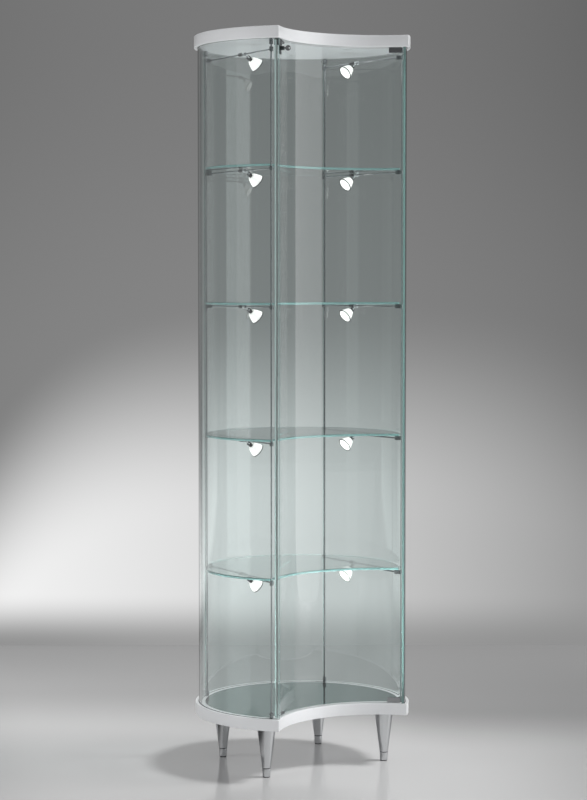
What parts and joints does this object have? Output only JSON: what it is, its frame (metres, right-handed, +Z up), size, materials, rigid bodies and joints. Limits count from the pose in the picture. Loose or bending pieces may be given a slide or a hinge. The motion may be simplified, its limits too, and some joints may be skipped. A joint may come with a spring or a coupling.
{
  "type": "display case",
  "caption": "Tall free-standing glass display case with a kidney-shaped plan, hollow-curved glass door, glass shelves on steel rods and low-voltage lamps.",
  "frame": {"origin": "on the floor, at the middle of the case's outline seen from above", "axes": "+Z up, the door and its hollow front face -Y, the round back faces +Y, +X is the hinge side"},
  "size_m": [0.56, 0.4795, 1.89],
  "materials": {
    "white_lacquer": "white satin lacquer on fibreboard",
    "mirror": "silvered glass",
    "clear_glass": "clear float glass, polished edges",
    "shelf_glass": "clear float glass, polished green edges",
    "black_rubber": "soft matt",
    "dark_metal": "satin dark nickel",
    "steel": "bright drawn",
    "chrome": "polished",
    "satin_chrome": "satin",
    "black_plastic": "fine grained",
    "white_nylon": "moulded",
    "grey_plastic": "moulded",
    "white_cover": "white powder coat",
    "lamp_glass": "frosted reflector glass, lit"
  },
  "bodies": {
    "case": {"base_board": "white_lacquer", "base_mirror": "mirror", "top_board": "white_lacquer", "glass_channels": "black_rubber", "left_pane": "clear_glass", "back_pane": "clear_glass", "right_pane": "clear_glass", "hinge_bushes": "white_nylon", "door_stops": "black_rubber", "corner_rods": "steel", "rod_collars": "chrome", "bar_clamps": "chrome", "light_bars": "steel", "bar_sleeves": "black_plastic", "transformer": "grey_plastic", "transformer_cover": "white_cover", "feet": "satin_chrome", "shelf_1": "shelf_glass", "shelf_2": "shelf_glass", "shelf_3": "shelf_glass", "shelf_4": "shelf_glass"},
    "door": {"door_glass": "clear_glass", "hinge_plates": "dark_metal", "lock_case": "dark_metal"},
    "bolt": {"lock_bolt": "steel"},
    "key": {"lock_key": "chrome"},
    "levelling_tip_front_left": {"foot_tip_front_left": "satin_chrome"},
    "levelling_tip_front_right": {"foot_tip_front_right": "satin_chrome"},
    "levelling_tip_back_left": {"foot_tip_back_left": "satin_chrome"},
    "levelling_tip_back_right": {"foot_tip_back_right": "satin_chrome"},
    "arm_left_1": {"lamp_arm_left_1": "chrome"},
    "head_left_1": {"lamp_holder_left_1": "black_plastic", "lamp_bulb_left_1": "lamp_glass"},
    "arm_left_2": {"lamp_arm_left_2": "chrome"},
    "head_left_2": {"lamp_holder_left_2": "black_plastic", "lamp_bulb_left_2": "lamp_glass"},
    "arm_left_3": {"lamp_arm_left_3": "chrome"},
    "head_left_3": {"lamp_holder_left_3": "black_plastic", "lamp_bulb_left_3": "lamp_glass"},
    "arm_left_4": {"lamp_arm_left_4": "chrome"},
    "head_left_4": {"lamp_holder_left_4": "black_plastic", "lamp_bulb_left_4": "lamp_glass"},
    "arm_left_5": {"lamp_arm_left_5": "chrome"},
    "head_left_5": {"lamp_holder_left_5": "black_plastic", "lamp_bulb_left_5": "lamp_glass"},
    "arm_right_1": {"lamp_arm_right_1": "chrome"},
    "head_right_1": {"lamp_holder_right_1": "black_plastic", "lamp_bulb_right_1": "lamp_glass"},
    "arm_right_2": {"lamp_arm_right_2": "chrome"},
    "head_right_2": {"lamp_holder_right_2": "black_plastic", "lamp_bulb_right_2": "lamp_glass"},
    "arm_right_3": {"lamp_arm_right_3": "chrome"},
    "head_right_3": {"lamp_holder_right_3": "black_plastic", "lamp_bulb_right_3": "lamp_glass"},
    "arm_right_4": {"lamp_arm_right_4": "chrome"},
    "head_right_4": {"lamp_holder_right_4": "black_plastic", "lamp_bulb_right_4": "lamp_glass"},
    "arm_right_5": {"lamp_arm_right_5": "chrome"},
    "head_right_5": {"lamp_holder_right_5": "black_plastic", "lamp_bulb_right_5": "lamp_glass"}
  },
  "joints": [
    {"name": "door_swing", "type": "hinge", "parent": "case", "child": "door", "pos_m": [0.18781, -0.21376, 0.162], "axis": [0, 0, 1], "range_deg": [0, 95]},
    {"name": "key_turn", "type": "hinge", "parent": "door", "child": "key", "pos_m": [-0.18038, -0.20706, 1.837], "axis": [0.6559, -0.7548, 0], "range_deg": [0, 90]},
    {"name": "bolt_lift", "type": "slide", "parent": "door", "child": "bolt", "axis": [0, 0, 1], "range_m": [0, 0.00424]},
    {"name": "tip_turn_front_left", "type": "hinge", "parent": "case", "child": "levelling_tip_front_left", "pos_m": [-0.18193, -0.1548, 0.024], "axis": [0, 0, 1], "continuous": true},
    {"name": "tip_turn_front_right", "type": "hinge", "parent": "case", "child": "levelling_tip_front_right", "pos_m": [0.18193, -0.1548, 0.024], "axis": [0, 0, 1], "continuous": true},
    {"name": "tip_turn_back_left", "type": "hinge", "parent": "case", "child": "levelling_tip_back_left", "pos_m": [-0.15096, 0.11285, 0.024], "axis": [0, 0, 1], "continuous": true},
    {"name": "tip_turn_back_right", "type": "hinge", "parent": "case", "child": "levelling_tip_back_right", "pos_m": [0.15096, 0.11285, 0.024], "axis": [0, 0, 1], "continuous": true},
    {"name": "tilt_left_1", "type": "hinge", "parent": "case", "child": "arm_left_1", "pos_m": [-0.18556, -0.05824, 0.503], "axis": [0.043, 0.9991, 0], "range_deg": [-9, 91]},
    {"name": "swivel_left_1", "type": "hinge", "parent": "arm_left_1", "child": "head_left_1", "pos_m": [-0.17424, -0.05872, 0.49477], "axis": [-0.5872, 0.0253, -0.809], "range_deg": [-40, 40]},
    {"name": "tilt_left_2", "type": "hinge", "parent": "case", "child": "arm_left_2", "pos_m": [-0.18556, -0.05824, 0.853], "axis": [0.043, 0.9991, 0], "range_deg": [-9, 91]},
    {"name": "swivel_left_2", "type": "hinge", "parent": "arm_left_2", "child": "head_left_2", "pos_m": [-0.17424, -0.05872, 0.84477], "axis": [-0.5872, 0.0253, -0.809], "range_deg": [-40, 40]},
    {"name": "tilt_left_3", "type": "hinge", "parent": "case", "child": "arm_left_3", "pos_m": [-0.18556, -0.05824, 1.195], "axis": [0.043, 0.9991, 0], "range_deg": [-9, 91]},
    {"name": "swivel_left_3", "type": "hinge", "parent": "arm_left_3", "child": "head_left_3", "pos_m": [-0.17424, -0.05872, 1.18677], "axis": [-0.5872, 0.0253, -0.809], "range_deg": [-40, 40]},
    {"name": "tilt_left_4", "type": "hinge", "parent": "case", "child": "arm_left_4", "pos_m": [-0.18556, -0.05824, 1.541], "axis": [0.043, 0.9991, 0], "range_deg": [-9, 91]},
    {"name": "swivel_left_4", "type": "hinge", "parent": "arm_left_4", "child": "head_left_4", "pos_m": [-0.17424, -0.05872, 1.53277], "axis": [-0.5872, 0.0253, -0.809], "range_deg": [-40, 40]},
    {"name": "tilt_left_5", "type": "hinge", "parent": "case", "child": "arm_left_5", "pos_m": [-0.18556, -0.05824, 1.835], "axis": [0.043, 0.9991, 0], "range_deg": [-9, 91]},
    {"name": "swivel_left_5", "type": "hinge", "parent": "arm_left_5", "child": "head_left_5", "pos_m": [-0.17424, -0.05872, 1.82677], "axis": [-0.5872, 0.0253, -0.809], "range_deg": [-40, 40]},
    {"name": "tilt_right_1", "type": "hinge", "parent": "case", "child": "arm_right_1", "pos_m": [0.18383, -0.01824, 0.503], "axis": [0.043, -0.9991, 0], "range_deg": [-9, 91]},
    {"name": "swivel_right_1", "type": "hinge", "parent": "arm_right_1", "child": "head_right_1", "pos_m": [0.17252, -0.01872, 0.49477], "axis": [-0.5872, -0.0253, 0.809], "range_deg": [-40, 40]},
    {"name": "tilt_right_2", "type": "hinge", "parent": "case", "child": "arm_right_2", "pos_m": [0.18383, -0.01824, 0.853], "axis": [0.043, -0.9991, 0], "range_deg": [-9, 91]},
    {"name": "swivel_right_2", "type": "hinge", "parent": "arm_right_2", "child": "head_right_2", "pos_m": [0.17252, -0.01872, 0.84477], "axis": [-0.5872, -0.0253, 0.809], "range_deg": [-40, 40]},
    {"name": "tilt_right_3", "type": "hinge", "parent": "case", "child": "arm_right_3", "pos_m": [0.18383, -0.01824, 1.195], "axis": [0.043, -0.9991, 0], "range_deg": [-9, 91]},
    {"name": "swivel_right_3", "type": "hinge", "parent": "arm_right_3", "child": "head_right_3", "pos_m": [0.17252, -0.01872, 1.18677], "axis": [-0.5872, -0.0253, 0.809], "range_deg": [-40, 40]},
    {"name": "tilt_right_4", "type": "hinge", "parent": "case", "child": "arm_right_4", "pos_m": [0.18383, -0.01824, 1.541], "axis": [0.043, -0.9991, 0], "range_deg": [-9, 91]},
    {"name": "swivel_right_4", "type": "hinge", "parent": "arm_right_4", "child": "head_right_4", "pos_m": [0.17252, -0.01872, 1.53277], "axis": [-0.5872, -0.0253, 0.809], "range_deg": [-40, 40]},
    {"name": "tilt_right_5", "type": "hinge", "parent": "case", "child": "arm_right_5", "pos_m": [0.18383, -0.01824, 1.835], "axis": [0.043, -0.9991, 0], "range_deg": [-9, 91]},
    {"name": "swivel_right_5", "type": "hinge", "parent": "arm_right_5", "child": "head_right_5", "pos_m": [0.17252, -0.01872, 1.82677], "axis": [-0.5872, -0.0253, 0.809], "range_deg": [-40, 40]}
  ],
  "couplings": [
    {"joint": "key_turn", "follows": "bolt_lift", "rad_per_m": 370.2}
  ]
}
